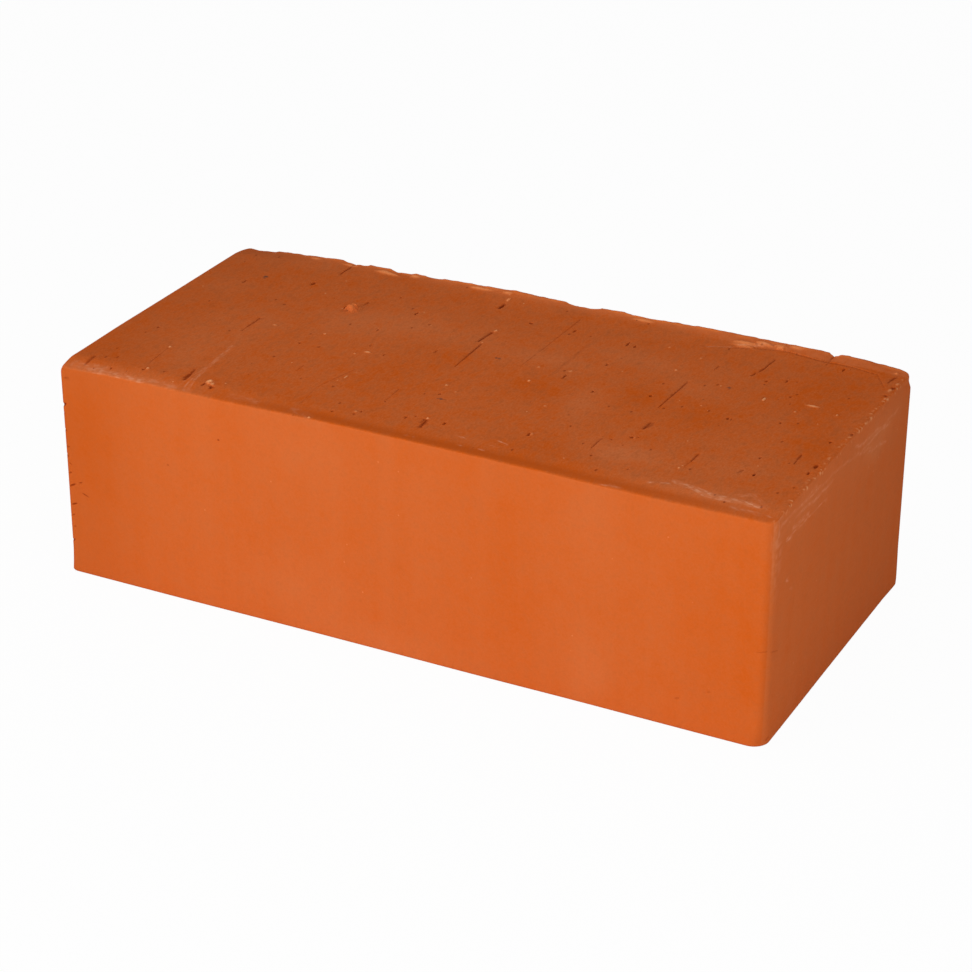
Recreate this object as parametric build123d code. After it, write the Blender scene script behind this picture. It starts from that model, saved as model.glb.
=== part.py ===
from build123d import *
from math import sqrt
import os

# Solid clay brick, wire-cut from an extruded column of stiff clay and fired in one piece.
# The die gives it four smooth sides and the rounded upright corners between them.
# The cutting wires give it the two beds. A wire presses the top bed down a little where it
# enters at the front, and leaves a clean arris there. It tears out at the rear, where it drags
# the clay of the bed up and back into a ragged lip.
#
# Millimetres. X runs along the length, Y from the front stretcher face to the rear one, and
# Z up. The origin is the middle of the bottom bed.

# Block between its flat faces
length = 210.0
width = 100.0
height = 65.0

# Upright corners: the die's radius, and what handling the soft clay made of it
front_left_radius = 1.8
front_right_radius = 2.8
rear_right_radius = 1.5
rear_left_radius = 1.5

# Arrises that the wires leave clean, round both beds
top_arris_radius = 0.5
bottom_arris_radius = 0.6

# Shoulder of the top bed: how far back it starts to dip, and how far below the bed the front
# arris lies, at even steps from the left end to the right
shoulder_width = 6.0
dip = [2.0, 1.3, 1.2, 1.2, 1.1, 0.7, 0.6, 0.6, 0.6, 0.8, 0.9, 1.2, 1.3, 1.2, 1.2]

# Left top arris, pressed round in handling, and most of all at the front
pressed_rear_radius = 0.7
pressed_front_radius = 2.1

# Torn lip along the rear top arris: its band on the bed, how far it hangs out over the rear
# face, how far down that face it starts to lean out, the upright brow at its front, and the
# rounding of its ends, seen from behind and from above
lip_width = 9.0
lip_overhang = 1.0
lip_skirt = 5.0
lip_brow = 0.9
lip_end_radius = 1.0
lip_corner_radius = 3.5

# Height of the lip's crest over the top bed, at even steps from the left end to the right
crest = [-2.2, -1.1, -0.1, 0.1, 0.1, 0.4, 0.9, 0.5, 0.8, 0.7, 1.0, 0.9, 0.8, 0.8, -0.6]

# Chips broken out of the crest: share of the way from the left end to the right, width, depth
chips = [
    (0.025, 9.0, 0.5),
    (0.166, 7.0, 0.8),
    (0.25, 8.0, 0.6),
    (0.3, 6.0, 0.4),
    (0.53, 11.0, 0.8),
    (0.62, 12.0, 0.4),
    (0.893, 3.0, 0.7),
]

left = -length / 2
right = length / 2
front = -width / 2
rear = width / 2
shoulder_root = front + shoulder_width
lip_root = rear - lip_width
lip_front = rear + lip_overhang
lip_base = height - lip_skirt


def column_plan(rear_line, right_radius, left_radius):
    """Section of the clay column, carried back to the given rear line."""
    corners = [(left, front), (right, front), (right, rear_line), (left, rear_line)]
    radii = [front_left_radius, front_right_radius, right_radius, left_radius]
    plan = make_face(Polyline(*corners, close=True))
    for corner, radius in zip(corners, radii):
        vertex = plan.vertices().sort_by_distance((*corner, 0))[0]
        plan = fillet(vertex, radius)
    return plan


def over_shoulder():
    """Clay that the wire pressed away over the shoulder, with as much to spare in front."""
    ceiling = height + shoulder_width
    spare = front - shoulder_width
    step = length / (len(dip) - 1)
    root_line = Line((left, shoulder_root, height), (right, shoulder_root, height))
    arris_line = Spline(*[(left + i * step, spare, height - 2 * d) for i, d in enumerate(dip)])
    sections = []
    for line in (root_line, arris_line):
        start, end = line @ 0, line @ 1
        sides = Polyline(end, (right, end.Y, ceiling), (left, end.Y, ceiling), start)
        sections.append(make_face([*line.edges(), *sides.edges()]))
    return loft(sections, ruled=True)


def arris_section(y, z, radius):
    """Upright section of the clay that a rounded left arris has lost."""
    middle = radius * (1 - sqrt(0.5))
    arc = ThreePointArc((0, -radius), (middle, -middle), (radius, 0))
    outside = Polyline((radius, 0), (radius, 1), (-1, 1), (-1, -radius), (0, -radius))
    section = make_face([*arc.edges(), *outside.edges()])
    return Plane(origin=(left, y, z), x_dir=(1, 0, 0), z_dir=(0, -1, 0)) * section


def off_left_arris():
    """Clay lost where the left arris was pressed: along the bed, then down the shoulder."""
    ends = [
        (rear, height, pressed_rear_radius),
        (shoulder_root, height, pressed_front_radius),
        (front, height - dip[0], pressed_front_radius),
    ]
    sections = [arris_section(y, z, radius) for y, z, radius in ends]
    return loft(sections, ruled=True)


def cut_block():
    """Block between the two wire cuts, with its shoulder and its arrises."""
    column = extrude(column_plan(rear, rear_right_radius, rear_left_radius), height)
    block = column - over_shoulder()

    # Clean arrises: all edges at the top but the crease at the root of the shoulder
    rim = block.edges().filter_by(lambda edge: edge.center().Z > height - 2 * max(dip))
    crease = rim.filter_by(Axis.X).sort_by(Axis.Y)[0]
    block = fillet([edge for edge in rim if edge != crease], top_arris_radius)
    bottom_rim = block.faces().sort_by(Axis.Z)[0].outer_wire().edges()
    block = fillet(bottom_rim, bottom_arris_radius)
    return block - off_left_arris()


def crest_line():
    """Torn edge of the lip, out over the rear face."""
    step = length / (len(crest) - 1)
    return Spline(
        *[(left + i * step, lip_front, height + rise) for i, rise in enumerate(crest)]
    )


def lip_section(top):
    """Upright section of the lip strip under the given line, with its top ends rounded."""
    start, end = top @ 0, top @ 1
    sides = Polyline(end, (right, end.Y, lip_base), (left, start.Y, lip_base), start)
    section = make_face([*top.edges(), *sides.edges()])
    ends = [section.vertices().sort_by_distance(point)[0] for point in (start, end)]
    return fillet(ends, lip_end_radius)


def chip(share, mouth_width, depth):
    """Scoop that widens from a point at the lip's root to its mouth in the torn edge."""
    edge = crest_line() @ share
    root = Vector(edge.X, lip_root, height)
    radius = (mouth_width**2 / 4 + depth**2) / (2 * depth)
    mouth_centre = Vector(edge.X, edge.Y, edge.Z - depth + radius)
    overrun = (lip_width + 2 * lip_overhang) / (lip_width + lip_overhang)
    far_centre = root + (mouth_centre - root) * overrun
    far_end = Plane(origin=far_centre, x_dir=(1, 0, 0), z_dir=(0, 1, 0)) * Circle(radius * overrun)
    return loft([Vertex(*root), far_end])


def torn_lip():
    """Clay that the wire dragged up and back as it left the column."""
    root_line = Line((left, lip_root, height), (right, lip_root, height))
    strip = loft([lip_section(root_line), lip_section(crest_line())], ruled=True)

    # The skirt leans out of the rear face and ends in an upright brow
    top = height + max(crest) + lip_overhang
    skirt = Polyline(
        (left, lip_root, lip_base),
        (left, rear, lip_base),
        (left, lip_front, height - lip_brow),
        (left, lip_front, top),
        (left, lip_root, top),
        close=True,
    )
    strip &= extrude(make_face(skirt), length, dir=(1, 0, 0))

    # Its ends follow the corners of the column, the right one rounder than below
    strip &= extrude(
        column_plan(lip_front, lip_corner_radius, rear_left_radius + lip_overhang), top
    )
    for share, mouth_width, depth in chips:
        strip -= chip(share, mouth_width, depth)
    return strip


def brick():
    """The whole brick: the torn lip takes the place of the block's rear top arris."""
    arris = Box(length, lip_width, lip_skirt, align=(Align.CENTER, Align.MIN, Align.MIN))
    return cut_block() - Pos(0, lip_root, lip_base) * arris + torn_lip()


os.makedirs("parts", exist_ok=True)
export_step(brick(), "parts/brick.step")
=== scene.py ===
import math

import bmesh
import bpy
import numpy as np
from mathutils import Matrix, Vector, noise


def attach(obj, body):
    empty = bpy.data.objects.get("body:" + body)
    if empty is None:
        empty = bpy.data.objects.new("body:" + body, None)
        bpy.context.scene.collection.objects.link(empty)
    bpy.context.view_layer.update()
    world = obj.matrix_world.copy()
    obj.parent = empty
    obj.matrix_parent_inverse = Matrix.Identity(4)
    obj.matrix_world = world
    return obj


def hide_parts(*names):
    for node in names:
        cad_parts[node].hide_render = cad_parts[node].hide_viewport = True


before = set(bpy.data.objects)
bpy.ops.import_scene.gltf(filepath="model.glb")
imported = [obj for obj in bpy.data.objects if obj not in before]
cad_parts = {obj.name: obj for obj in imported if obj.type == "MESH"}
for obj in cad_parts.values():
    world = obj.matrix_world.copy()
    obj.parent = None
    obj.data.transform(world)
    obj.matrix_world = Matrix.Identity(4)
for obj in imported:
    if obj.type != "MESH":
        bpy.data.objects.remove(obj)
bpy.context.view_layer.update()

# The cut block
# A solid brick of stiff-mud clay, cut by wires from an extruded column and fired in one
# piece. Its mesh starts as a cube whose faces are divided until each is as small as the
# marks on it need. The sections after this one move those vertices, in millimetres.

mm = 0.001
length, width, height = 210.0, 100.0, 65.0
left, right = -length / 2, length / 2
front, rear = -width / 2, width / 2

# Marks are placed in millimetres from the front left corner. A tear on the top bed runs along
# the wire's way, and the crease of the lip across it, in straight parts: both ends, half the
# width, depth and how much shade is painted into it.
tears = [
    (114.3, 92.0, 114.2, 72.0, 0.28, 0.12, 0.55),
    (114.2, 72.0, 113.9, 54.6, 0.26, 0.10, 0.45),
    (123.8, 77.0, 123.8, 50.0, 0.22, 0.06, 0.25),
    (96.4, 72.2, 95.9, 64.6, 0.60, 0.45, 0.85),
    (97.5, 63.5, 98.2, 46.4, 0.32, 0.30, 0.80),
    (158.4, 66.3, 158.1, 47.6, 0.34, 0.30, 0.80),
    (160.6, 37.7, 160.0, 33.4, 1.00, 0.40, 0.90),
    (173.8, 90.5, 173.3, 84.0, 0.40, 0.35, 0.70),
    (173.3, 84.0, 172.0, 78.0, 0.55, 0.40, 0.80),
    (161.8, 80.0, 161.7, 76.8, 0.35, 0.20, 0.40),
    (36.5, 100.5, 36.7, 91.0, 0.50, 0.45, 0.85),
    (187.3, 101.5, 187.5, 94.0, 0.45, 0.30, 0.70),
    (207.0, 94.8, 206.4, 90.5, 0.55, 0.40, 0.85),
    (33.4, 51.0, 33.6, 41.0, 0.45, 0.25, 0.70),
    (36.5, 12.0, 37.1, 9.3, 0.80, 0.35, 0.80),
    (37.0, 8.8, 37.5, 5.3, 1.10, 0.50, 0.95),
    (22.1, 21.5, 23.0, 11.4, 0.28, 0.15, 0.60),
    (23.0, 11.4, 24.4, 6.4, 0.22, 0.10, 0.40),
    (153.0, 23.1, 153.0, 16.8, 0.32, 0.20, 0.70),
    (178.6, 25.7, 178.7, 21.3, 0.50, 0.30, 0.85),
    (178.7, 21.3, 178.5, 16.7, 0.22, 0.10, 0.45),
    (192.4, 22.4, 191.6, 20.4, 0.40, 0.20, 0.65),
    (202.1, 37.5, 202.3, 31.8, 0.45, 0.30, 0.75),
    (7.5, 7.2, 7.3, 2.6, 0.80, 0.40, 0.60),
    (75.2, 32.5, 71.8, 17.0, 0.26, 0.06, 0.40),
    (71.8, 17.0, 73.4, 6.4, 0.22, 0.06, 0.30),
    (91.9, 26.3, 92.4, 18.1, 0.26, 0.10, 0.50),
    (61.3, 28.0, 61.6, 23.8, 0.26, 0.10, 0.45),
    (107.5, 12.4, 108.1, 8.3, 1.10, 0.50, 0.95),
    (152.0, 90.6, 160.5, 93.2, 0.40, 0.12, 0.20),
    (160.5, 93.2, 167.0, 95.4, 0.45, 0.20, 0.30),
    (167.0, 95.4, 174.0, 96.9, 0.45, 0.20, 0.35),
    (174.0, 96.9, 184.6, 95.6, 0.45, 0.25, 0.45),
    (184.6, 95.6, 193.0, 95.6, 0.45, 0.25, 0.40),
    (193.0, 95.6, 202.0, 94.4, 0.40, 0.25, 0.35),
    (202.0, 94.4, 206.6, 87.0, 0.35, 0.15, 0.25),
]

# A pit is where a grain was pulled out: x, y, length along the wire's way, width, depth.
pits = [
    (33.4, 80.8, 3.4, 1.2, 0.6),
    (14.9, 73.0, 2.6, 0.7, 0.3),
    (11.6, 32.2, 2.2, 0.8, 0.4),
    (54.8, 74.4, 3.2, 0.8, 0.4),
    (71.1, 74.2, 2.4, 1.0, 0.4),
    (61.4, 82.9, 1.4, 0.7, 0.3),
    (51.0, 69.4, 2.6, 0.9, 0.5),
    (90.1, 90.4, 4.4, 1.2, 0.7),
    (103.2, 83.2, 1.6, 1.4, 0.4),
    (116.4, 83.6, 2.0, 0.8, 0.3),
    (133.5, 82.2, 3.0, 0.7, 0.4),
    (135.9, 81.5, 2.6, 0.7, 0.4),
    (134.3, 66.7, 1.6, 0.8, 0.3),
    (88.8, 53.0, 1.8, 0.7, 0.3),
    (77.3, 44.4, 1.4, 0.6, 0.2),
    (70.8, 48.6, 1.4, 0.6, 0.2),
    (67.2, 59.1, 1.4, 0.6, 0.2),
    (52.6, 40.9, 1.2, 0.8, 0.3),
    (58.6, 40.9, 1.6, 0.8, 0.3),
    (138.5, 48.8, 2.0, 0.9, 0.5),
    (127.5, 54.4, 2.6, 0.6, 0.4),
    (153.2, 53.4, 1.8, 0.8, 0.5),
    (181.9, 79.0, 2.8, 0.6, 0.3),
    (177.0, 76.4, 1.4, 0.7, 0.3),
    (186.5, 69.7, 1.4, 0.7, 0.3),
    (192.9, 92.9, 2.0, 0.7, 0.4),
    (177.0, 49.4, 1.8, 0.9, 0.6),
    (178.0, 49.2, 1.6, 0.4, 0.2),
    (190.2, 53.1, 1.4, 0.6, 0.3),
    (205.9, 48.2, 1.6, 0.8, 0.4),
    (193.5, 31.0, 1.4, 0.7, 0.3),
    (195.8, 21.2, 2.2, 0.7, 0.8),
    (207.5, 28.5, 2.4, 0.8, 0.5),
    (159.6, 27.4, 1.8, 1.0, 0.4),
    (161.0, 28.2, 1.0, 0.8, 0.3),
    (155.5, 23.7, 1.0, 0.7, 0.2),
    (103.1, 28.2, 1.4, 0.9, 0.5),
    (112.9, 12.5, 2.0, 0.7, 0.5),
    (154.9, 12.8, 1.4, 0.7, 0.3),
    (102.2, 11.1, 1.8, 0.7, 0.3),
    (104.1, 13.0, 1.2, 0.5, 0.2),
    (89.2, 6.9, 1.6, 0.7, 0.3),
    (90.1, 8.9, 1.4, 0.6, 0.3),
    (83.3, 5.8, 1.4, 0.7, 0.2),
    (135.3, 16.4, 2.4, 0.8, 0.4),
    (30.1, 7.1, 1.2, 0.6, 0.3),
    (24.2, 5.8, 1.4, 0.8, 0.4),
    (15.4, 3.2, 1.0, 0.6, 0.3),
    (10.6, 1.8, 0.8, 0.5, 0.2),
    (13.3, 9.4, 1.4, 0.6, 0.2),
    (43.8, 5.0, 1.8, 1.1, 0.5),
    (46.6, 4.4, 1.6, 1.4, 0.5),
    (92.5, 17.6, 1.2, 0.6, 0.3),
    (208.9, 88.0, 2.4, 1.4, 0.6),
    (208.6, 82.2, 1.6, 1.2, 0.4),
    (207.8, 32.8, 4.0, 1.4, 0.5),
    (209.2, 55.0, 1.4, 1.0, 0.4),
]

# A crumb of clay was carried along and pressed in: x, y, length, width, height, how pale. The
# least pale is orange.
crumbs = [
    (53.2, 69.1, 4.8, 4.0, 2.20, 0.05),
    (44.9, 6.7, 2.4, 2.2, 0.80, 1.2),
    (46.2, 6.0, 1.4, 1.2, 0.40, 0.8),
    (22.3, 21.8, 1.2, 0.9, 0.30, 0.8),
    (25.0, 6.6, 1.3, 1.1, 0.40, 0.8),
    (49.0, 7.9, 0.9, 0.9, 0.20, 0.6),
    (72.4, 43.8, 1.4, 2.2, 0.30, 0.8),
    (69.8, 41.2, 0.9, 0.9, 0.20, 0.5),
    (39.8, 48.6, 1.2, 2.0, 0.20, 0.5),
    (55.6, 49.6, 1.1, 1.2, 0.25, 0.8),
    (75.5, 26.5, 2.2, 0.6, 0.25, 1.0),
    (74.6, 23.6, 1.2, 0.4, 0.15, 0.5),
    (76.4, 30.4, 1.2, 0.4, 0.15, 0.5),
    (102.1, 34.1, 1.1, 0.9, 0.30, 1.0),
    (106.3, 31.4, 1.2, 0.8, 0.15, 0.4),
    (120.4, 47.0, 1.8, 0.9, 0.30, 1.0),
    (89.0, 8.2, 1.4, 0.9, 0.30, 0.4),
    (136.1, 17.1, 1.6, 1.1, 0.35, 0.3),
    (160.4, 27.4, 1.2, 0.8, 0.30, 0.3),
    (144.7, 85.4, 1.3, 0.8, 0.20, 0.5),
    (152.6, 71.8, 1.2, 1.0, 0.30, 0.9),
    (155.4, 82.4, 1.2, 0.8, 0.20, 0.5),
    (167.7, 53.7, 1.4, 0.7, 0.25, 0.6),
    (180.9, 65.1, 2.6, 0.8, 0.30, 1.0),
    (194.0, 66.8, 1.3, 5.4, 0.35, 1.1),
    (191.1, 61.4, 1.2, 0.7, 0.25, 0.7),
    (201.6, 64.3, 1.4, 0.7, 0.25, 0.7),
    (177.6, 16.2, 1.0, 0.8, 0.25, 0.8),
    (131.4, 34.2, 1.0, 1.0, 0.15, 0.4),
    (118.7, 56.5, 1.2, 1.0, 0.15, 0.4),
    (127.6, 57.9, 1.6, 1.2, 0.15, 0.5),
    (90.0, 95.2, 2.4, 0.9, 0.35, 0.8),
    (96.9, 73.4, 1.4, 0.9, 0.35, 0.9),
    (97.4, 64.4, 1.0, 0.8, 0.20, 0.6),
    (107.6, 13.2, 0.9, 0.9, 0.30, 0.8),
    (79.2, 0.6, 0.8, 1.1, 0.30, 0.9),
    (206.4, 97.4, 1.6, 1.2, 0.40, 0.6),
    (162.6, 96.2, 4.2, 8.0, 0.65, 0.6),
    (167.4, 98.0, 3.6, 6.0, 0.65, 0.6),
    (172.4, 98.2, 3.0, 4.0, 0.55, 0.6),
    (176.6, 99.4, 2.0, 5.0, 0.30, 0.6),
    (36.0, 98.6, 2.2, 6.0, 0.35, 0.7),
    (48.6, 97.6, 3.0, 8.0, 0.40, 0.9),
    (57.4, 98.8, 2.2, 4.0, 0.35, 0.9),
    (24.0, 98.4, 1.8, 5.0, 0.25, 0.6),
    (79.0, 98.6, 1.8, 8.0, 0.30, 0.9),
    (88.0, 99.0, 1.6, 4.0, 0.25, 0.9),
    (131.0, 98.8, 2.0, 8.0, 0.30, 0.8),
    (209.0, 90.6, 2.2, 1.0, 0.30, 0.7),
    (208.6, 85.6, 2.4, 1.2, 0.25, 0.6),
    (209.2, 80.0, 1.6, 0.8, 0.20, 0.6),
]

# Nicks and cracks in the sides: the face, the place along it and above the floor, length,
# height, slope and depth
nicks = [
    ("front", 2.6, 60.2, 2.0, 0.7, -0.3, 0.30),
    ("front", 0.9, 51.8, 2.2, 1.2, 0.5, 0.50),
    ("front", 0.8, 49.2, 1.3, 0.6, 0.2, 0.25),
    ("front", 0.7, 44.0, 1.5, 0.8, 0.0, 0.35),
    ("front", 1.4, 39.1, 1.4, 0.6, 0.3, 0.25),
    ("front", 0.7, 36.3, 1.5, 0.8, -0.3, 0.35),
    ("front", 1.8, 34.0, 1.2, 0.5, -0.3, 0.20),
    ("front", 1.6, 31.2, 1.4, 0.6, 0.4, 0.25),
    ("front", 2.0, 27.4, 2.6, 0.7, 0.5, 0.35),
    ("front", 4.8, 28.7, 1.3, 0.5, 0.3, 0.25),
    ("front", 6.2, 25.2, 2.6, 0.5, -0.4, 0.30),
    ("front", 2.2, 21.6, 2.4, 0.6, 0.4, 0.35),
    ("front", 1.7, 18.1, 1.4, 0.6, 0.4, 0.20),
    ("front", 1.9, 14.5, 1.2, 0.5, 0.3, 0.20),
    ("front", 0.9, 10.0, 1.8, 0.9, 0.5, 0.40),
    ("front", 51.0, 51.9, 0.8, 0.7, 0.0, 0.25),
    ("front", 34.4, 40.8, 0.9, 0.7, 0.0, 0.12),
    ("front", 186.1, 8.8, 1.6, 0.8, 0.4, 0.10),
    ("front", 194.7, 12.9, 1.2, 0.7, 0.2, 0.08),
    ("front", 208.8, 28.0, 4.6, 0.4, 0.15, 0.10),
    ("right", 4.4, 26.6, 6.4, 0.4, -0.36, 0.10),
    ("right", 3.2, 1.8, 2.4, 1.2, 0.2, 0.12),
]

# A grey smudge on the bed: x, y, length, width
smudges = [
    (18.5, 78.6, 2.4, 1.6),
    (105.0, 25.6, 1.2, 2.4),
    (169.8, 67.8, 2.2, 1.6),
    (106.0, 56.6, 1.4, 2.0),
]

# White scratches, each with the face it is on, its two ends, its width and its strength. The
# bed's are in x and y, the right face's in y and z.
scratches = [
    ("bed", 173.6, 5.3, 175.4, 5.9, 0.6, 0.9),
    ("bed", 176.6, 6.2, 179.2, 6.8, 0.6, 0.7),
    ("bed", 179.0, 8.6, 185.3, 7.4, 1.2, 0.55),
    ("bed", 184.2, 7.8, 189.4, 6.0, 1.4, 0.70),
    ("bed", 187.6, 6.0, 194.6, 5.4, 1.5, 0.70),
    ("bed", 193.0, 5.6, 199.4, 5.8, 1.3, 0.50),
    ("bed", 199.2, 6.0, 204.0, 5.2, 1.1, 0.85),
    ("bed", 196.4, 8.0, 200.0, 10.6, 1.2, 0.25),
    ("bed", 199.6, 11.0, 206.0, 5.0, 1.0, 0.20),
    ("bed", 196.6, 3.0, 205.6, 2.4, 0.9, 0.25),
    ("bed", 206.0, 2.9, 208.0, 2.4, 0.4, 0.6),
    ("bed", 129.8, 9.5, 133.2, 8.6, 0.3, 0.9),
    ("bed", 130.0, 6.4, 131.2, 6.0, 0.3, 0.5),
    ("bed", 127.6, 3.4, 129.3, 3.1, 0.5, 0.6),
    ("bed", 121.8, 3.2, 123.0, 3.0, 0.4, 0.6),
    ("bed", 119.8, 7.6, 121.8, 6.9, 0.5, 0.5),
    ("bed", 109.0, 2.2, 109.8, 2.0, 0.3, 0.5),
    ("bed", 106.6, 2.1, 107.4, 2.0, 0.3, 0.5),
    ("bed", 53.0, 2.6, 63.0, 2.6, 1.3, 0.15),
    ("bed", 72.0, 2.8, 80.0, 1.0, 1.5, 0.15),
    ("bed", 162.6, 0.5, 169.0, 0.9, 0.4, 0.35),
    ("bed", 37.0, 31.2, 39.2, 12.9, 0.9, 0.30),
    ("bed", 39.2, 13.4, 41.2, 0.8, 0.5, 0.40),
    ("bed", 39.0, 14.2, 39.7, 1.2, 0.4, 0.30),
    ("bed", 38.7, 13.4, 37.9, 2.4, 0.4, 0.20),
    ("bed", 39.6, 1.3, 42.4, 1.4, 1.0, 0.30),
    ("bed", 3.0, 1.8, 15.0, 1.6, 2.2, 0.28),
    ("bed", 11.0, 0.9, 28.0, 0.8, 1.4, 0.45),
    ("bed", 26.0, 1.4, 38.0, 1.2, 1.5, 0.22),
    ("bed", 153.2, 90.7, 160.0, 93.4, 0.4, 0.4),
    ("bed", 161.0, 94.6, 168.4, 97.0, 0.5, 0.5),
    ("bed", 164.2, 97.0, 170.6, 98.8, 0.4, 0.45),
    ("right", 8.0, 55.9, 37.0, 55.3, 0.4, 0.28),
    ("right", 8.2, 55.9, 12.6, 55.7, 0.7, 0.45),
    ("right", 4.0, 62.2, 30.0, 60.6, 0.6, 0.25),
    ("right", 14.0, 59.6, 40.0, 58.6, 0.6, 0.25),
    ("right", 56.0, 61.0, 84.0, 57.0, 0.7, 0.25),
    ("right", 60.0, 57.4, 90.0, 58.6, 0.6, 0.20),
    ("right", 44.0, 60.2, 70.0, 55.4, 0.5, 0.18),
    ("right", 12.0, 57.6, 24.0, 56.4, 0.9, 0.22),
    ("right", 20.0, 61.8, 46.0, 60.0, 0.5, 0.20),
    ("right", 66.0, 55.0, 82.0, 52.0, 0.6, 0.20),
    ("right", 9.4, 43.8, 11.6, 42.6, 0.5, 0.35),
    ("right", 12.6, 40.4, 14.6, 39.2, 0.5, 0.35),
]


def from_line(u, v, line):
    """How far each point lies along a straight mark, and how far to its side."""
    u1, v1, u2, v2 = line
    span = math.hypot(u2 - u1, v2 - v1)
    along = ((u - u1) * (u2 - u1) + (v - v1) * (v2 - v1)) / span
    beside = ((v - v1) * (u2 - u1) - (u - u1) * (v2 - v1)) / span
    return along, beside, span


def clearance(u, v, line, half_width):
    """Gap between each point and a straight mark of the given half width."""
    along, beside, span = from_line(u, v, line)
    beyond = np.maximum(np.maximum(-along, along - span), 0)
    return np.hypot(np.maximum(np.abs(beside) - half_width, 0), beyond)


# Wide marks and scratches have soft outlines and count as this much farther away
soft_margin = 0.12


def distance_to_marks(x, y, z):
    """How far each point of the block lies from the nearest mark on its face."""
    far = np.full(x.shape, 1e3)
    on_bed, on_right, on_front = z > height - 1e-3, x > right - 1e-3, y < front + 1e-3
    u, v = x - left, y - front
    nearest = far.copy()
    for tear in tears:
        nearest = np.minimum(nearest, clearance(u, v, tear[:4], tear[4] / 2))
    for mark_x, mark_y, mark_length, mark_width, *_ in pits + crumbs + smudges:
        along = np.maximum(np.abs(v - mark_y) - mark_length / 2, 0)
        across = np.maximum(np.abs(u - mark_x) - mark_width / 2, 0)
        margin = soft_margin if max(mark_length, mark_width) > 3 else 0
        nearest = np.minimum(nearest, np.hypot(across, along) + margin)
    on_front_face, on_right_face = far.copy(), far.copy()
    for face, mark_u, mark_z, mark_length, mark_height, _, _ in nicks:
        nicked, along_face = (on_front_face, u) if face == "front" else (on_right_face, v)
        along = np.maximum(np.abs(along_face - mark_u) - mark_length / 2, 0)
        across = np.maximum(np.abs(z - mark_z) - mark_height / 2 - 0.3, 0)
        np.minimum(nicked, np.hypot(across, along), out=nicked)
    for face, *line, mark_width, _ in scratches:
        if face == "bed":
            nearest = np.minimum(nearest, clearance(u, v, line, mark_width) + soft_margin)
        else:
            gap = clearance(v, z, line, mark_width) + soft_margin
            on_right_face = np.minimum(on_right_face, gap)
    marks = np.where(on_bed, nearest, far)
    marks = np.minimum(marks, np.where(on_front, on_front_face, far))
    return np.minimum(marks, np.where(on_right, on_right_face, far))


def cell_size(centre):
    """Width that a face of the mesh may have, at its place on the sharp block."""
    x, y, z = centre.T
    below = height - z
    from_end, from_side = np.minimum(x - left, right - x), np.minimum(y - front, rear - y)
    arris = np.hypot(np.minimum(from_end, from_side), np.minimum(below, z))
    upright = np.hypot(from_end, from_side)
    clean_arris = np.hypot(y - front, below)
    lip = np.hypot(np.maximum(rear - 7 - y, 0), np.maximum(below - 4, 0))
    crumbly_arris = np.hypot(np.maximum(right - 1.0 - x, 0), np.maximum(below - 1.0, 0))
    marks = distance_to_marks(x, y, z)

    # The bottom bed and the rear face are plain, and take wider faces than the rest
    size = np.where((z < 0.01) | (y > rear - 0.01), 3.4, 2.4)

    # Distance beyond the fine strip along each form, the width there, and how fast it grows
    for beyond, finest, growth in (
        (arris - 1.0, 0.60, 0.9),
        (upright - 2.2, 0.75, 0.9),
        (clean_arris - 0.7, 0.32, 0.9),
        (lip, 0.55, 0.6),
        (crumbly_arris, 0.32, 0.9),
        (marks - 0.05, 0.15, 1.6),
    ):
        size = np.minimum(size, finest + growth * np.maximum(beyond, 0))
    return size


block = bmesh.new()
bmesh.ops.create_cube(block, size=1.0)
bmesh.ops.scale(block, vec=(length, width, height), verts=block.verts)
bmesh.ops.translate(block, vec=(0, 0, height / 2), verts=block.verts)

# Cuts across each axis make an even grid of faces about 4 mm wide. Then each face that is too
# long for its place is divided, over and over.
for axis, cuts in ((0, 49), (1, 23), (2, 15)):
    along = [
        edge
        for edge in block.edges
        if abs((edge.verts[0].co - edge.verts[1].co).normalized()[axis]) > 0.99
    ]
    bmesh.ops.subdivide_edges(block, edges=along, cuts=cuts, use_grid_fill=True)
for _ in range(5):
    faces = list(block.faces)
    centre = np.array([face.calc_center_median() for face in faces])
    longest = np.array([max(edge.calc_length() for edge in face.edges) for face in faces])
    chosen = longest > 1.3 * cell_size(centre)
    edges = {edge for face, split in zip(faces, chosen) if split for edge in face.edges}
    bmesh.ops.subdivide_edges(block, edges=list(edges), cuts=1, use_grid_fill=True)
bmesh.ops.triangulate(block, faces=block.faces)

# The die's corners and the arrises
# The die leaves the four upright corners of the column tight, each a little differently after
# handling. The wires leave the arrises of the beds sharp, but for the left one, which was
# pressed round while the clay was soft, and most of all at the front left corner.

# Radius of each upright corner at the foot, halfway up, and at the top bed
upright_radii = {
    (-1, -1): (1.8, 1.8, 1.8),
    (1, -1): (4.6, 2.8, 2.8),
    (1, 1): (0.9, 0.4, 3.5),
    (-1, 1): (1.5, 1.5, 1.5),
}


def blend(low, high, value):
    """Smooth step from 0 at low to 1 at high."""
    share = np.clip((value - low) / (high - low), 0, 1)
    return share * share * (3 - 2 * share)


sharp = np.array([vert.co for vert in block.verts])
x, y, z = sharp.T.copy()
on_front, on_right, on_top = y < front + 1e-3, x > right - 1e-3, z > height - 1e-3
on_bed = on_top | (z < 1e-3)
upper = z > height / 2

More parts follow.
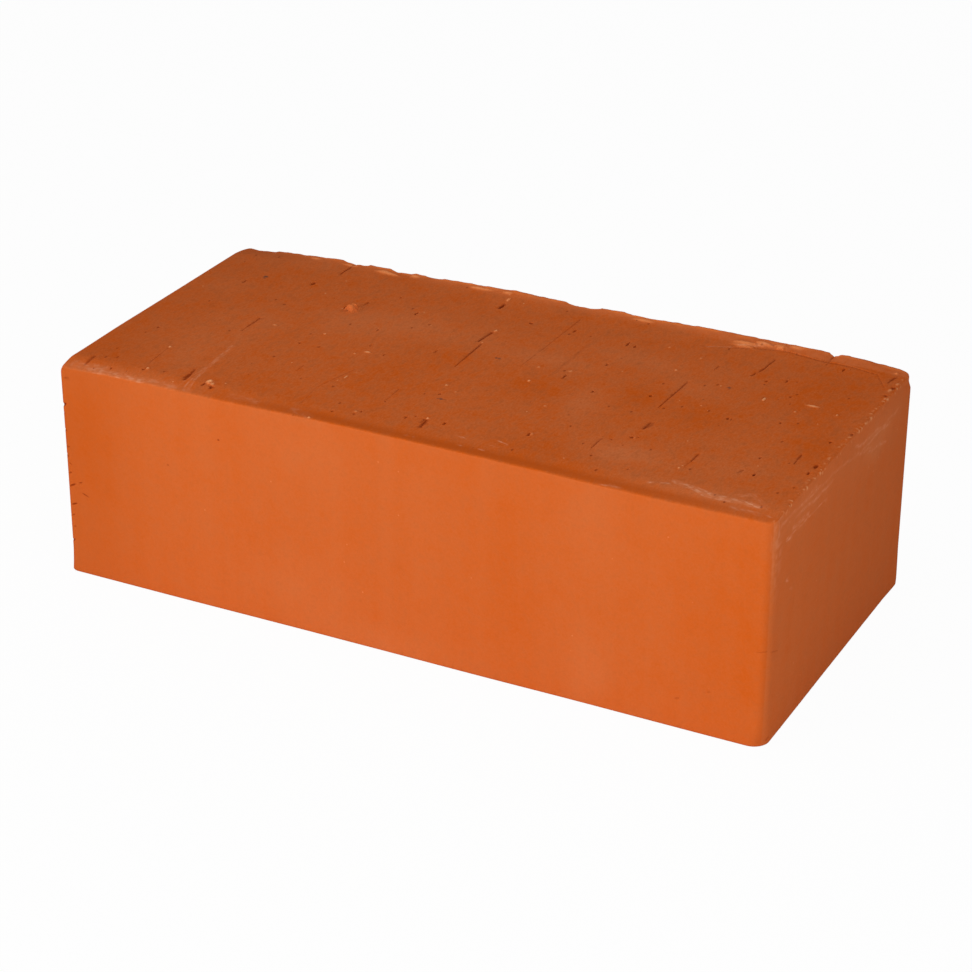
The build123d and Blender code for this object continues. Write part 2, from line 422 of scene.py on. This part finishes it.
# Way out of the nearest side of the column, and how deep each vertex lies under it
gaps = np.stack([x - left, right - x, y - front, rear - y])
ways = np.array([(-1, 0), (1, 0), (0, -1), (0, 1)])
outward = ways[np.argmin(gaps, axis=0)].astype(float)
depth = gaps.min(axis=0)
for (sx, sy), (foot_radius, side_radius, bed_radius) in upright_radii.items():
    radius = foot_radius + (side_radius - foot_radius) * blend(0, 6, z)
    radius = radius + (bed_radius - side_radius) * blend(height - 5, height - 1, z)
    dx = x - sx * (length / 2 - radius)
    dy = y - sy * (width / 2 - radius)
    inside = (dx * sx > 0) & (dy * sy > 0)
    reach = np.maximum(np.abs(dx), np.abs(dy))
    span = np.maximum(np.hypot(dx, dy), 1e-9)
    x = np.where(inside, x - dx + dx / span * reach, x)
    y = np.where(inside, y - dy + dy / span * reach, y)
    depth = np.where(inside, radius - reach, depth)
    outward[inside] = np.stack([dx / span, dy / span], 1)[inside]


top_arris, bottom_arris = 0.5, 0.6
pressed_front, pressed_rear = 2.1, 0.7


def arris_radius(x, y, upper):
    """Radius of the arris at each place round the top or the bottom bed."""
    along_left = pressed_front + (pressed_rear - pressed_front) * np.clip((y - front) / width, 0, 1)

    # The pressed part reaches 3.5 mm in from the left end at the very front, and 8 mm behind it
    behind = blend(front + 0.5, front + 4, y)
    at_left = blend(left + 3.5 + 4.5 * behind, left + 0.8 + 2.2 * behind, x)
    return np.where(upper, top_arris + at_left * (along_left - top_arris), bottom_arris)


bed_depth = np.where(upper, height - z, z)
radius = arris_radius(x, y, upper)
du, dv = radius - depth, radius - bed_depth
on_arris = (du > 0) & (dv > 0)
reach = np.maximum(du, dv)
span = np.maximum(np.hypot(du, dv), 1e-9)
x = x - outward[:, 0] * np.where(on_arris, du - du / span * reach, 0)
y = y - outward[:, 1] * np.where(on_arris, du - du / span * reach, 0)
drop = np.where(on_arris, dv - dv / span * reach, 0)
z = np.where(upper, z - drop, z + drop)
lean = np.where(on_arris, du / span, np.where(on_bed, 0.0, 1.0))
rise = np.where(on_arris, dv / span, np.where(on_bed, 1.0, 0.0)) * np.where(upper, 1.0, -1.0)
normal = np.stack([outward[:, 0] * lean, outward[:, 1] * lean, rise], 1)

# The shoulder and the foot
# The wire pressed the top bed down a little over its last six millimetres to the front
# arris, unevenly, and handling pressed the left arris down behind the front left corner. At
# the foot of the left end, and of the rear right corner, the clay spread as it lay to dry.

shoulder_width = 6.0

# How far below the bed the front arris lies, at even steps from the left end to the right
dip = [2.0, 1.3, 1.2, 1.2, 1.1, 0.7, 0.6, 0.6, 0.6, 0.8, 0.9, 1.2, 1.3, 1.2, 1.2]


def grain(points, size, seed):
    """Noise between -1 and 1 whose lumps are about the given size, in millimetres."""
    step = np.array(size) if np.ndim(size) else np.full(3, size)
    shifted = points / step + seed * 17.3
    return np.array([noise.noise(Vector(point)) for point in shifted])


# The noise of every later section is taken at these places, so that it follows the clay
places = np.stack([x, y, z], 1)
near_front = np.clip(1 - (y - front) / shoulder_width, 0, 1)
sinking = np.where(on_top, 1.0, blend(height - 14, height - 1, z))
dip_here = np.interp((x - left) / length * (len(dip) - 1), np.arange(len(dip)), dip)
pressed = 0.4 * blend(front + 32, front + 6, y) * np.clip(1 - (x - left) / 8, 0, 1) ** 1.5
sunk = (dip_here + 0.08 * grain(places, (9, 200, 200), 11)) * near_front**1.3
z = z - (sunk + pressed * (1 - near_front)) * sinking
left_spread, right_spread = 0.6, 0.25
spread = left_spread * np.clip(1 - z / 8, 0, 1) ** 1.5 * np.clip((left + 2.5 - x) / 2.5, 0, 1)
x = x - spread
spread = right_spread * np.clip(1 - z / 12, 0, 1) * np.clip((x - right + 2.5) / 2.5, 0, 1)
x = x + spread * blend(rear - 12, rear - 2, y)

# The torn lip
# The wire leaves through the rear top arris and drags the clay up and back with it, so a
# band of the bed climbs to a ragged crest that hangs out over the rear face.

lip_width, lip_overhang, lip_skirt = 9.0, 1.0, 5.0

# Height of the crest over the bed, at even steps from the left end to the right, and the chips
# broken out of it: share of the way from the left end, width and depth
crest = [-2.2, -1.1, -0.1, 0.1, 0.1, 0.4, 0.9, 0.5, 0.8, 0.7, 1.0, 0.9, 0.8, 0.8, -0.6]
chips = [
    (0.025, 9.0, 0.5),
    (0.176, 9.0, 0.7),
    (0.25, 8.0, 0.6),
    (0.3, 6.0, 0.4),
    (0.53, 11.0, 0.8),
    (0.62, 12.0, 0.4),
    (0.893, 3.0, 0.7),
]

steps_along = (x - left) / length * (len(crest) - 1)
crest_height = np.interp(steps_along, np.arange(len(crest)), crest)
for share, chip_width, chip_depth in chips:
    across = np.abs(x - left - share * length) / (chip_width / 2)
    crest_height -= chip_depth * np.sqrt(np.maximum(1 - across**2, 0))
crest_height += 0.2 + 0.10 * grain(places, (4.0, 50, 50), 1) + 0.03 * grain(places, (1.4, 9, 9), 2)

climb = np.clip((y - (rear - lip_width)) / lip_width, 0, 1)
under = np.clip((z - (height - lip_skirt)) / lip_skirt, 0, 1)
pull = np.where(on_top, climb, climb * under)
z = z + crest_height * (0.5 * pull**1.2 + 0.5 * pull**3)
y = y + lip_overhang * (1 + 0.3 * grain(places, (4, 50, 50), 3)) * pull**2

# The clay is more torn the nearer it is to the crest, but over the right third of the lip a
# flap is folded down and torn all over. The rim of the crest is painted a brighter orange
# highlight.
flap = blend(left + 146, left + 160, x)
folded = 0.8 * blend(0.50, 0.60, pull + 0.05 * grain(places, (6, 50, 50), 20))
torn = (1 - flap) * blend(0.45, 0.95, pull) + flap * folded
rim = blend(0.78, 0.96, pull) * np.clip(0.65 + 1.6 * grain(places, (5.0, 1.2, 1.2), 17), 0, 1)

# Relief of the beds and sides
# The sides are smooth from the die. The beds carry what the wire did: drag ripples, tears
# along its way, pits where it pulled grains out, and the crumbs it left behind.

# Waves of the stiff clay all over, drag ripples on the top bed, and the roughness of the tear
relief = 0.10 * grain(places, 40, 4) * (1 - pull)
relief += 0.03 * grain(places, (2.5, 30, 2.5), 5) * on_top
relief += torn * (0.14 * grain(places, 2.2, 6) + 0.09 * grain(places, 0.9, 7))

# The marks of the top bed go on over its arrises
u, v = x - left, y - front
near_top = upper & (z > height - 2.5)
# The shade painted into the tears, pits and nicks, and into the rough foot, is gathered here
hollow_shade = np.zeros(len(x))
ragged = grain(places, (0.7, 1.5, 9), 8)
worn = grain(places, (0.5, 4.0, 9), 9)
for *line, tear_width, tear_depth, shade in tears:
    along, beside, span = from_line(u, v, line)
    beyond = np.maximum(np.maximum(-along, along - span), 0)
    taper = np.clip(1.5 - along / span, 0.6, 1) * (1 + 0.5 * ragged)
    notch = np.clip(1 - np.hypot(beside, beyond) / (tear_width * taper), 0, 1) * near_top
    notch *= np.clip(0.85 + 1.1 * worn, 0, 1)
    relief -= tear_depth * notch
    hollow_shade = np.maximum(hollow_shade, 0.75 * shade * np.clip(1.8 * notch, 0, 1) ** 1.3)

# Uneven outlines for the pits and crumbs, and for the crumbs that were drawn out sideways
rugged = grain(places, 0.6, 14)
knobbly = 0.6 * grain(places, 1.5, 22) + 0.6 * rugged
streaky = 0.5 * grain(places, (5.0, 0.9, 0.9), 23) + 0.2 * rugged
for pit_x, pit_y, pit_length, pit_width, pit_depth in pits:
    reach = np.hypot((u - pit_x) / (pit_width / 2), (v - pit_y) / (pit_length / 2))
    bowl = np.clip(1 - (reach + 0.5 * rugged) ** 2, 0, 1) * near_top * (reach < 2)
    relief -= pit_depth * bowl
    hollow_shade = np.maximum(hollow_shade, np.clip(0.3 + pit_depth, 0, 1) * np.clip(1.3 * bowl, 0, 1))

# The deeper a nick, the darker the shade painted into it
for face, nick_u, nick_z, nick_length, nick_height, slope, nick_depth in nicks:
    on_face, pu = (y < front + 1.5, u) if face == "front" else (x > right - 1.5, v)
    along, across = pu - nick_u, z - nick_z - slope * (pu - nick_u)
    reach = np.hypot(along / (nick_length / 2), across / (nick_height / 2))
    cut = np.clip(1 - reach**2, 0, 1) * on_face * ~near_top
    relief -= nick_depth * cut
    hollow_shade = np.maximum(hollow_shade, (0.1 + 2 * nick_depth) * np.clip(1.2 * cut, 0, 0.8))

pale = np.zeros(len(x))
for crumb_x, crumb_y, crumb_length, crumb_width, crumb_height, paleness in crumbs:
    reach = np.hypot((u - crumb_x) / (crumb_width / 2), (v - crumb_y) / (crumb_length / 2))
    uneven = streaky if crumb_width > 1.5 * crumb_length else knobbly
    lump = np.clip(1 - (reach + 0.7 * uneven) ** 2, 0, 1) * near_top * (reach < 2)
    relief += 0.7 * crumb_height * lump
    pale = np.maximum(pale, 0.85 * paleness * lump**1.5)
    # The least pale crumbs take some of the rim's orange
    if paleness < 0.3:
        rim = np.maximum(rim, 0.4 * lump)

# On the lip the crumbs are half as pale, and take the crest's painted highlight instead
on_lip = blend(0.2, 0.5, climb)
rim = np.maximum(rim, np.clip(2.0 * pale * on_lip, 0, 1))
pale = pale * (1 - 0.5 * on_lip)

smudge = np.zeros(len(x))
for smudge_x, smudge_y, smudge_length, smudge_width in smudges:
    reach = np.hypot((u - smudge_x) / (smudge_width / 2), (v - smudge_y) / (smudge_length / 2))
    smudge = np.maximum(smudge, np.clip(1 - reach + 0.8 * rugged, 0, 1) * on_top * (reach < 2))

# Along the right arris of the bed the wire's edge crumbled
crumbly = np.exp(-(((right - x) / 1.2) ** 2) - ((height - z) / 1.0) ** 2)
relief += 0.10 * crumbly * grain(places, 1.1, 12)
pale = np.maximum(pale, 0.6 * crumbly * np.clip(3 * grain(places, 0.9, 13) - 0.7, 0, 1))

# At the foot the sides are a little rough from the board the brick dried on
foot = np.clip(1 - z / 3.5, 0, 1) * ~on_bed
relief += 0.10 * foot * grain(places, 1.2, 18)
# The dark flecks of the foot are painted shade near the floor
hollow_shade = np.maximum(hollow_shade, 0.15 * foot * np.clip(3 * grain(places, 0.9, 19) - 0.5, 0, 1))

# Dust and wear
# A thin film of brick dust lies on the beds and sides, thicker in some places and rubbed off
# in others. A patch is a face, its middle, its reach both ways, and how much dust it has more
# or less than the rest.

patches = [
    ("bed", 76, 66, 22, 8, 0.7),
    ("bed", 60, 58, 14, 10, 0.5),
    ("bed", 36, 50, 9, 9, 0.3),
    ("bed", 10, 68, 8, 8, 0.4),
    ("bed", 120, 63, 14, 5, 0.7),
    ("bed", 141, 74, 16, 5, 0.6),
    ("bed", 160, 63, 8, 5, 0.5),
    ("bed", 139, 42, 6, 11, 0.7),
    ("bed", 162, 17, 12, 6, 1.1),
    ("bed", 190, 25, 8, 14, 0.4),
    ("bed", 28, 26, 12, 20, 0.5),
    ("bed", 8, 92, 14, 8, 0.4),
    ("bed", 26, 95, 10, 4, 0.6),
    ("bed", 19, 1.5, 20, 2.0, 0.7),
    ("bed", 190, 6, 20, 3.5, 0.9),
    ("bed", 90, 50, 9, 8, -0.3),
    ("bed", 86, 30, 10, 12, -0.4),
    ("bed", 124, 43, 10, 8, -0.6),
    ("bed", 151, 51, 6, 8, -0.7),
    ("bed", 169, 46, 8, 8, -0.6),
    ("bed", 142, 10, 12, 9, -0.5),
    ("bed", 197, 78, 12, 22, -0.5),
    ("bed", 204, 42, 6, 10, -0.6),
    ("bed", 6, 14, 12, 9, -0.4),
    ("bed", 70, 8, 50, 5, -0.25),
    ("bed", 120, 2, 60, 2.5, -0.7),
    ("front", 75, 56, 14, 12, 0.3),
    ("front", 74, 12, 16, 10, 0.4),
    ("front", 102, 2, 18, 5, 0.5),
    ("front", 161, 52, 7, 14, 0.2),
    ("front", 161, 10, 6, 10, 0.5),
    ("front", 137, 30, 8, 26, -0.25),
    ("front", 200, 30, 14, 34, -0.5),
    ("front", 6, 45, 11, 22, -0.5),
    # The whole right face is paler and bluer than the front and the bed
    ("right", 50, 30, 200, 200, 0.3),
    ("right", 24, 60, 22, 4.5, 0.6),
    ("right", 72, 57, 16, 6.0, 0.8),
    ("right", 74, 54, 6, 4.0, 0.5),
    ("right", 1, 56, 2.5, 12, 0.5),
]

film = np.full(len(x), 0.42)
for face, middle_u, middle_v, reach_u, reach_v, dust in patches:
    on_face, pu, pv = {
        "bed": (on_top, u, v),
        "front": (on_front & ~on_top, u, z),
        "right": (on_right & ~on_top & ~on_front, v, z),
    }[face]
    soft = np.exp(-(((pu - middle_u) / reach_u) ** 2) - ((pv - middle_v) / reach_v) ** 2)
    film += 0.5 * dust * soft * on_face

# A band of the bed beside the middle of the front arris is painted darker. The left end of the
# bed, and of the front beside it, is a shade darker too.
darkened = 0.68 * np.exp(-(((u - 128) / 80) ** 6) - ((v - 1.9) / 1.9) ** 2) * on_top
darkened += (0.16 * on_top + 0.30 * (on_front & ~on_top)) * np.exp(-((u / 24) ** 2))

# A scratch wanders a little, frays into strands and fades at its ends
scuff = np.zeros(len(x))
for number, (face, *line, mark_width, strength) in enumerate(scratches):
    on_face, pu, pv = (on_top, u, v) if face == "bed" else (on_right & ~on_top, v, z)
    wander, brightness = (0.2, 0.85) if face == "bed" else (0.8, 1.05)
    near = np.flatnonzero(on_face & (clearance(pu, pv, line, mark_width) < 0.8))
    along, beside, span = from_line(pu[near], pv[near], line)
    path = np.stack([along / 7, 0 * along, 0 * along + number], 1)
    beside = beside + wander * grain(path, 1, 21)
    fibre = 0.22 + 0.25 * mark_width
    strand = grain(np.stack([along / 1.5, beside / fibre, 0 * along + number], 1), 1, 15)
    ends = np.clip(np.minimum(along, span - along) / 1.2 + 0.3, 0, 1)
    body = np.clip(1 - (beside / mark_width) ** 2, 0, 1)
    share = (0.25 + 0.75 * np.clip(2.6 * strand, 0, 1)) * brightness
    scuff[near] = np.maximum(scuff[near], strength * body * ends * share)

# The upright front right corner is rubbed pale near the bed, on its right side
rubbed = np.exp(-(((y - front - 3.0) / 2.2) ** 2)) * (x > right - 1.2) * blend(34, 60, z)
rubbed *= np.clip(0.35 + 1.6 * grain(places, (0.6, 0.6, 1.6), 16), 0, 1)
scuff = np.maximum(scuff, 0.2 * rubbed * ~on_top)

moved = np.stack([x, y, z], 1) + normal * relief[:, None]
for vert, place in zip(block.verts, moved * mm):
    vert.co = place
bmesh.ops.recalc_face_normals(block, faces=block.faces)
mesh = bpy.data.meshes.new("brick_body")
block.to_mesh(mesh)
block.free()

# How much of each mark, of the dust, and of the painted shade and highlight the material shows
# at each vertex
layers = {
    "hollow_shade": hollow_shade,
    "pale": pale,
    "torn": torn,
    "bed": on_bed * 1.0,
    "film": np.clip(film, 0, 1),
    "scuff": scuff,
    "smudge": smudge,
    "rim": rim,
    "darkened": darkened,
}
for name, values in layers.items():
    layer = mesh.attributes.new(name, "FLOAT", "POINT")
    layer.data.foreach_set("value", values.astype(np.float32))
mesh.shade_smooth()
brick = bpy.data.objects.new("brick_body", mesh)
bpy.context.scene.collection.objects.link(brick)

# Fired clay
# Red-burning clay, fired to a dry matt orange. It scatters light softly, is mottled over a
# few millimetres by dust and iron, and has fine dark pores and pale grains of sand in it.


def colour(text):
    """Linear colour of an sRGB hex value."""
    parts = [int(text[i:i + 2], 16) / 255 for i in (1, 3, 5)]
    return [c / 12.92 if c <= 0.04045 else ((c + 0.055) / 1.055) ** 2.4 for c in parts] + [1.0]


def add(tree, kind, links=None, inputs=None, **settings):
    """Adds a node, sets its properties and sockets, and links sockets to it."""
    node = tree.nodes.new(kind)
    for name, value in settings.items():
        setattr(node, name, value)
    for name, value in (inputs or {}).items():
        node.inputs[name].default_value = value
    for name, socket in (links or {}).items():
        tree.links.new(socket, node.inputs[name])
    return node


def maths(tree, operation, value, other):
    """Math on a socket and on another socket or a number."""
    links, inputs = {0: value}, {}
    if isinstance(other, float):
        inputs[1] = other
    else:
        links[1] = other
    return add(tree, "ShaderNodeMath", links, inputs, operation=operation).outputs[0]


def in_lumps(size):
    """Place on the brick in units of a lump, whose size is in millimetres along each axis."""
    scale = [1 / (part * mm) for part in size]
    return add(tree, "ShaderNodeMapping", {"Vector": place}, {"Scale": scale}).outputs["Vector"]


def tinted(base, tone, amount):
    """The base colour with the given amount of another tone."""
    links = {"Factor": amount, "A": base}
    inputs = {"B": colour(tone)}
    return add(tree, "ShaderNodeMix", links, inputs, data_type="RGBA").outputs["Result"]


clay = bpy.data.materials.new("fired_clay_matt")
clay.use_nodes = True
tree = clay.node_tree
tree.nodes.clear()
place = add(tree, "ShaderNodeTexCoord").outputs["Object"]
mask = {
    name: add(tree, "ShaderNodeAttribute", attribute_name=name).outputs["Fac"] for name in layers
}

# Clouds of dust, flecks, grit, and the streaks that the die draws up the sides: the size of
# their lumps, and the detail and roughness of the noise
patterns = {}
for name, size, detail, roughness in (
    ("cloud", (8.0, 8.0, 8.0), 4.0, 0.6),
    ("fleck", (1.6, 3.2, 1.6), 3.0, 0.6),
    ("grit", (0.45, 0.8, 0.45), 2.0, 0.6),
    ("streak", (7.0, 7.0, 160.0), 3.0, 0.5),
):
    patterns[name] = add(
        tree,
        "ShaderNodeTexNoise",
        {"Vector": in_lumps(size)},
        {"Scale": 1.0, "Detail": detail, "Roughness": roughness},
    ).outputs["Fac"]

# The sides were smoothed by the die and show less of the fine patterns than the beds
on_beds = add(
    tree, "ShaderNodeMapRange", {"Value": mask["bed"]}, {"To Min": 0.35, "To Max": 1.0}
).outputs["Result"]

# Dust: the film, broken up by clouds, by the die's streaks, and by fine flecks
dust = mask["film"]
for name, swing, where in (
    ("cloud", 0.10, None),
    ("cloud", 0.12, mask["bed"]),
    ("streak", 0.06, None),
    ("fleck", 0.24, on_beds),
    ("grit", 0.08, on_beds),
):
    part = add(
        tree,
        "ShaderNodeMapRange",
        {"Value": patterns[name]},
        {"From Min": 0.3, "From Max": 0.7, "To Min": -swing, "To Max": swing},
    ).outputs["Result"]
    if where:
        part = maths(tree, "MULTIPLY", part, where)
    dust = maths(tree, "ADD", dust, part)
dust = add(tree, "ShaderNodeClamp", {"Value": dust}).outputs["Result"]
body = add(
    tree,
    "ShaderNodeMix",
    {"Factor": dust},
    {"A": colour("#CE5A16"), "B": colour("#D4723F")},
    data_type="RGBA",
).outputs["Result"]

# Clouds and flecks a shade darker, and grit
for name, tone, low, high, strength in (
    ("cloud", "#9E4408", 0.46, 0.70, 0.17),
    ("fleck", "#9E4408", 0.48, 0.72, 0.32),
    ("grit", "#E58C58", 0.52, 0.75, 0.13),
    ("grit", "#8A3A08", 0.48, 0.28, 0.13),
):
    amount = add(
        tree,
        "ShaderNodeMapRange",
        {"Value": patterns[name]},
        {"From Min": low, "From Max": high, "To Min": 0.0, "To Max": strength},
    ).outputs["Result"]
    body = tinted(body, tone, maths(tree, "MULTIPLY", amount, on_beds))

# Pores and sand: cells, of which a share hold a dot. A pore's dark dot is painted shade in its
# hole. The wire drew the pores of the beds out.
dots = {}
for name, size, radius, share, where, strength in (
    ("pore", (3.4, 6.5, 3.4), 0.11, 0.45, mask["bed"], 0.55),
    ("sand", (5.5, 5.5, 5.5), 0.055, 0.40, on_beds, 0.60),
):
    cell = add(tree, "ShaderNodeTexVoronoi", {"Vector": in_lumps(size)}, {"Scale": 1.0})
    dot = add(
        tree,
        "ShaderNodeMapRange",
        {"Value": cell.outputs["Distance"]},
        {"From Min": radius, "From Max": radius * 0.5, "To Min": 0.0, "To Max": 1.0},
    ).outputs["Result"]
    luck = add(tree, "ShaderNodeSeparateColor", {"Color": cell.outputs["Color"]}).outputs["Red"]
    kept = maths(tree, "LESS_THAN", luck, share)
    dot = maths(tree, "MULTIPLY", maths(tree, "MULTIPLY", dot, kept), where)
    dots[name] = maths(tree, "MULTIPLY", dot, strength)
# Painted shade: the dark dots of the pores and the hollows of the marks
painted_shade = maths(tree, "MAXIMUM", dots["pore"], mask["hollow_shade"])
light = maths(tree, "MAXIMUM", dots["sand"], mask["pale"])

# The marks, from the broadest to the finest; the rim's bright orange is a painted highlight
for amount, tone in (
    (maths(tree, "MULTIPLY", mask["torn"], patterns["fleck"]), "#E27742"),
    (mask["rim"], "#F4803E"),
    (mask["darkened"], "#B04C14"),
    (mask["smudge"], "#7A4A36"),
    (painted_shade, "#882C04"),
    (mask["scuff"], "#F4AC84"),
    (light, "#FAAE76"),
):
    body = tinted(body, tone, amount)

# Fine grain that catches the light, and the pores as small hollows
bump = None
for height_map, relief_mm in (
    (patterns["grit"], 0.02),
    (patterns["fleck"], 0.03),
    (dots["pore"], -0.25),
):
    links = {"Height": height_map}
    if bump:
        links["Normal"] = bump
    bump = add(
        tree,
        "ShaderNodeBump",
        links,
        {"Strength": 1.0, "Distance": abs(relief_mm) * mm},
        invert=relief_mm < 0,
    ).outputs["Normal"]
surface = add(
    tree,
    "ShaderNodeBsdfPrincipled",
    {"Base Color": body, "Normal": bump},
    {"Roughness": 0.9, "Specular IOR Level": 0.04},
)
add(tree, "ShaderNodeOutputMaterial", {"Surface": surface.outputs["BSDF"]})
mesh.materials.append(clay)

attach(brick, "root")
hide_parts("brick")

# Floor
# A sheet of white paper, which the brick lies on. It is lit up where the camera sees it, so
# that it reads as white and still takes the brick's shadow.

floor_mesh = bmesh.new()
bmesh.ops.create_grid(floor_mesh, x_segments=1, y_segments=1, size=6.0)
floor_data = bpy.data.meshes.new("floor")
floor_mesh.to_mesh(floor_data)
floor_mesh.free()
floor = bpy.data.objects.new("floor", floor_data)
bpy.context.scene.collection.objects.link(floor)
paper = bpy.data.materials.new("white_paper")
paper.use_nodes = True
tree = paper.node_tree
tree.nodes.clear()
matt = add(tree, "ShaderNodeBsdfDiffuse", inputs={"Color": (0.8, 0.8, 0.8, 1)})
glow = add(tree, "ShaderNodeEmission", inputs={"Color": (1, 1, 1, 1), "Strength": 1.0})
seen = add(tree, "ShaderNodeLightPath").outputs["Is Camera Ray"]
lit = maths(tree, "MULTIPLY", seen, 0.97)
mixed = add(tree, "ShaderNodeMixShader", {0: lit, 1: matt.outputs[0], 2: glow.outputs[0]})
add(tree, "ShaderNodeOutputMaterial", {"Surface": mixed.outputs[0]})
floor_data.materials.append(paper)

# Light
# A white studio: soft light from all round, a large soft box at the left front, a weaker one
# at the right front, and two small ones, in front and above.

world = bpy.data.worlds.new("studio")
bpy.context.scene.world = world
world.use_nodes = True
world.node_tree.nodes["Background"].inputs["Color"].default_value = (1, 1, 1, 1)
world.node_tree.nodes["Background"].inputs["Strength"].default_value = 0.35


def way_to(azimuth, elevation):
    """Direction from the brick in degrees. Azimuth 0 is in front of it and 90 at its right."""
    a, e = math.radians(azimuth), math.radians(elevation)
    return Vector((math.sin(a) * math.cos(e), -math.cos(a) * math.cos(e), math.sin(e)))


def lamp(name, azimuth, elevation, distance, size, power):
    """Square soft box that looks at the brick: degrees, metres and watts."""
    way = way_to(azimuth, elevation)
    light = bpy.data.lights.new(name, "AREA")
    light.shape = "SQUARE"
    light.size = size
    light.energy = power
    lamp_object = bpy.data.objects.new(name, light)
    bpy.context.scene.collection.objects.link(lamp_object)
    lamp_object.location = way * distance
    lamp_object.rotation_euler = way.to_track_quat("Z", "Y").to_euler()
    lamp_object.visible_camera = False


lamp("key_softbox", -35, 14, 0.80, 0.40, 2.49)
lamp("right_softbox", 50, 15, 0.50, 0.25, 0.58)
lamp("front_softbox", -10, 20, 0.42, 0.20, 0.13)
lamp("top_softbox", 0, 75, 0.36, 0.15, 0.20)

# Camera
# A long lens at the front right of the brick and a little above it, as in the photo: degrees
# round and above, how far it is turned, metres to the aim, and the aim's offset.

view_azimuth, view_elevation, view_roll = 27.04, 26.20, 0.20
view_distance = 0.7486
aim_right, aim_up = 0.00084, -0.00340
back = way_to(view_azimuth, view_elevation)
across = Vector((math.cos(math.radians(view_azimuth)), math.sin(math.radians(view_azimuth)), 0))
upward = back.cross(across)
aim = Vector((0, 0, height / 2 * mm)) + across * aim_right + upward * aim_up
lens = bpy.data.cameras.new("camera")
lens.sensor_width = 36.0
lens.lens = 100.0
lens.clip_start, lens.clip_end = 0.01, 50
camera = bpy.data.objects.new("camera", lens)
bpy.context.scene.collection.objects.link(camera)
camera.location = aim + back * view_distance
turn = Matrix((across, upward, back)).transposed().to_4x4()
camera.rotation_euler = (turn @ Matrix.Rotation(math.radians(view_roll), 4, "Z")).to_euler()
bpy.context.scene.camera = camera
bpy.context.scene.view_settings.view_transform = "Standard"
